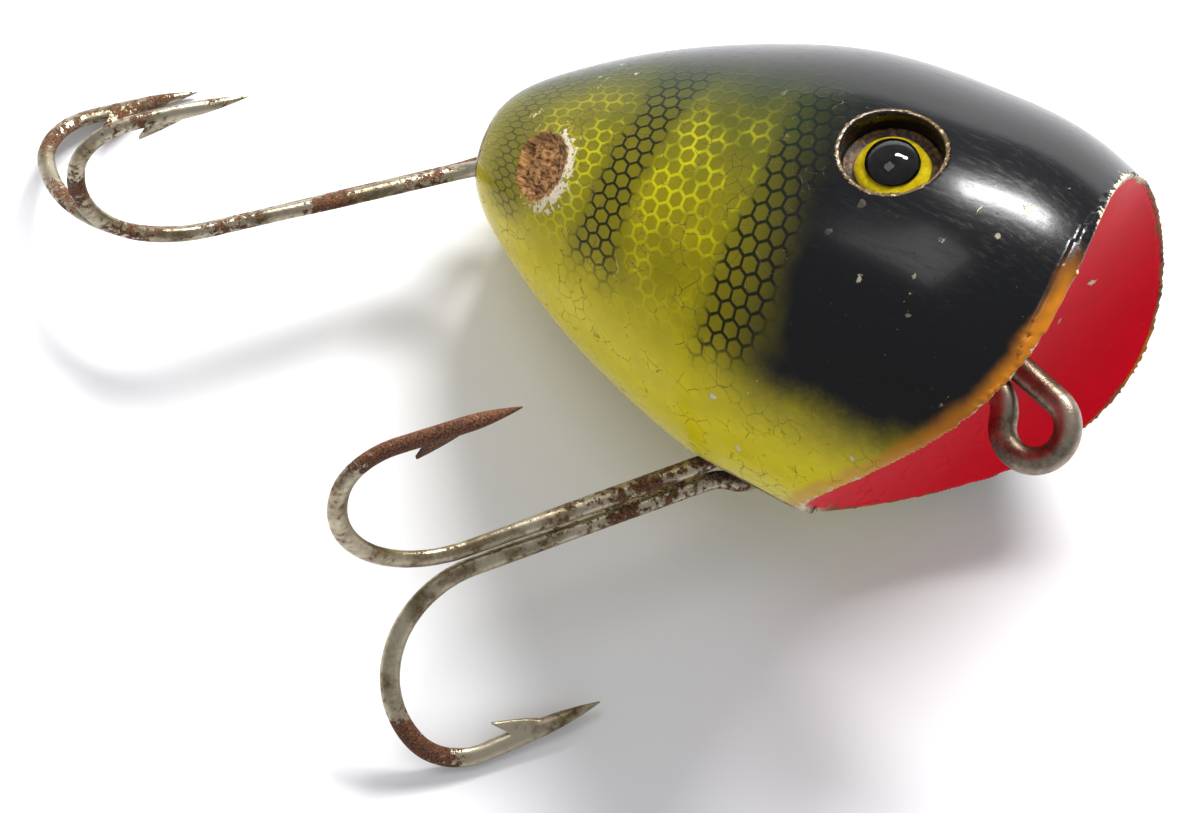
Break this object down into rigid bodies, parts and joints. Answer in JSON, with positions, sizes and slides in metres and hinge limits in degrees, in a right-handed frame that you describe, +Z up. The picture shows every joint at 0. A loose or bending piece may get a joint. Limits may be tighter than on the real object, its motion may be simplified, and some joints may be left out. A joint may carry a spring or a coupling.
{
  "type": "fishing lure",
  "caption": "Turned wooden popping plug with a scooped mouth, glass eyes, a wire line tie, and double hooks swinging on screw eyes sunk in cups at the belly and tail.",
  "frame": {"origin": "centre of the bounding box's base, on the surface that the lure lies on", "axes": "+Z up from that surface, +X the way the nose points along it; the lure lies on its left flank and both hooks, as it does on a table"},
  "size_m": [0.0718, 0.0528, 0.0322],
  "materials": {
    "painted_wood": "worn gloss enamel over white primer on turned wood",
    "tie_wire": "dull nickelled brass wire",
    "cup_metal": "tarnished nickelled brass",
    "screw_eye_wire": "tarnished brass wire",
    "eye_glass": "clear polished glass",
    "iris_enamel": "yellow enamel behind the glass",
    "pupil_enamel": "black enamel behind the glass",
    "eye_wire": "thin iron wire",
    "eye_cement": "aged amber glue",
    "belly_hook_steel": "worn nickel plate with rust patches",
    "tail_hook_steel": "worn nickel plate with rust patches"
  },
  "bodies": {
    "lure_body": {"wooden_body": "painted_wood", "line_tie_screw_eye": "tie_wire", "belly_hook_cup": "cup_metal", "belly_screw_eye": "screw_eye_wire", "tail_hook_cup": "cup_metal", "tail_screw_eye": "screw_eye_wire", "left_eye_glass": "eye_glass", "left_eye_iris": "iris_enamel", "left_eye_pupil": "pupil_enamel", "left_eye_stem": "eye_wire", "left_eye_cement": "eye_cement", "right_eye_glass": "eye_glass", "right_eye_iris": "iris_enamel", "right_eye_pupil": "pupil_enamel", "right_eye_stem": "eye_wire", "right_eye_cement": "eye_cement"},
    "belly_hook": {"belly_double_hook": "belly_hook_steel"},
    "tail_hook": {"tail_double_hook": "tail_hook_steel"}
  },
  "joints": [
    {"name": "belly_hook_swing", "type": "hinge", "parent": "lure_body", "child": "belly_hook", "pos_m": [0.01607, -0.00029, 0.01021], "axis": [0.5636, -0.5518, 0.6147], "range_deg": [-1, 88]},
    {"name": "tail_hook_swing", "type": "hinge", "parent": "lure_body", "child": "tail_hook", "pos_m": [-0.00749, 0.01087, 0.00669], "axis": [-0.6179, 0.7145, 0.3281], "range_deg": [-83, 3]}
  ]
}
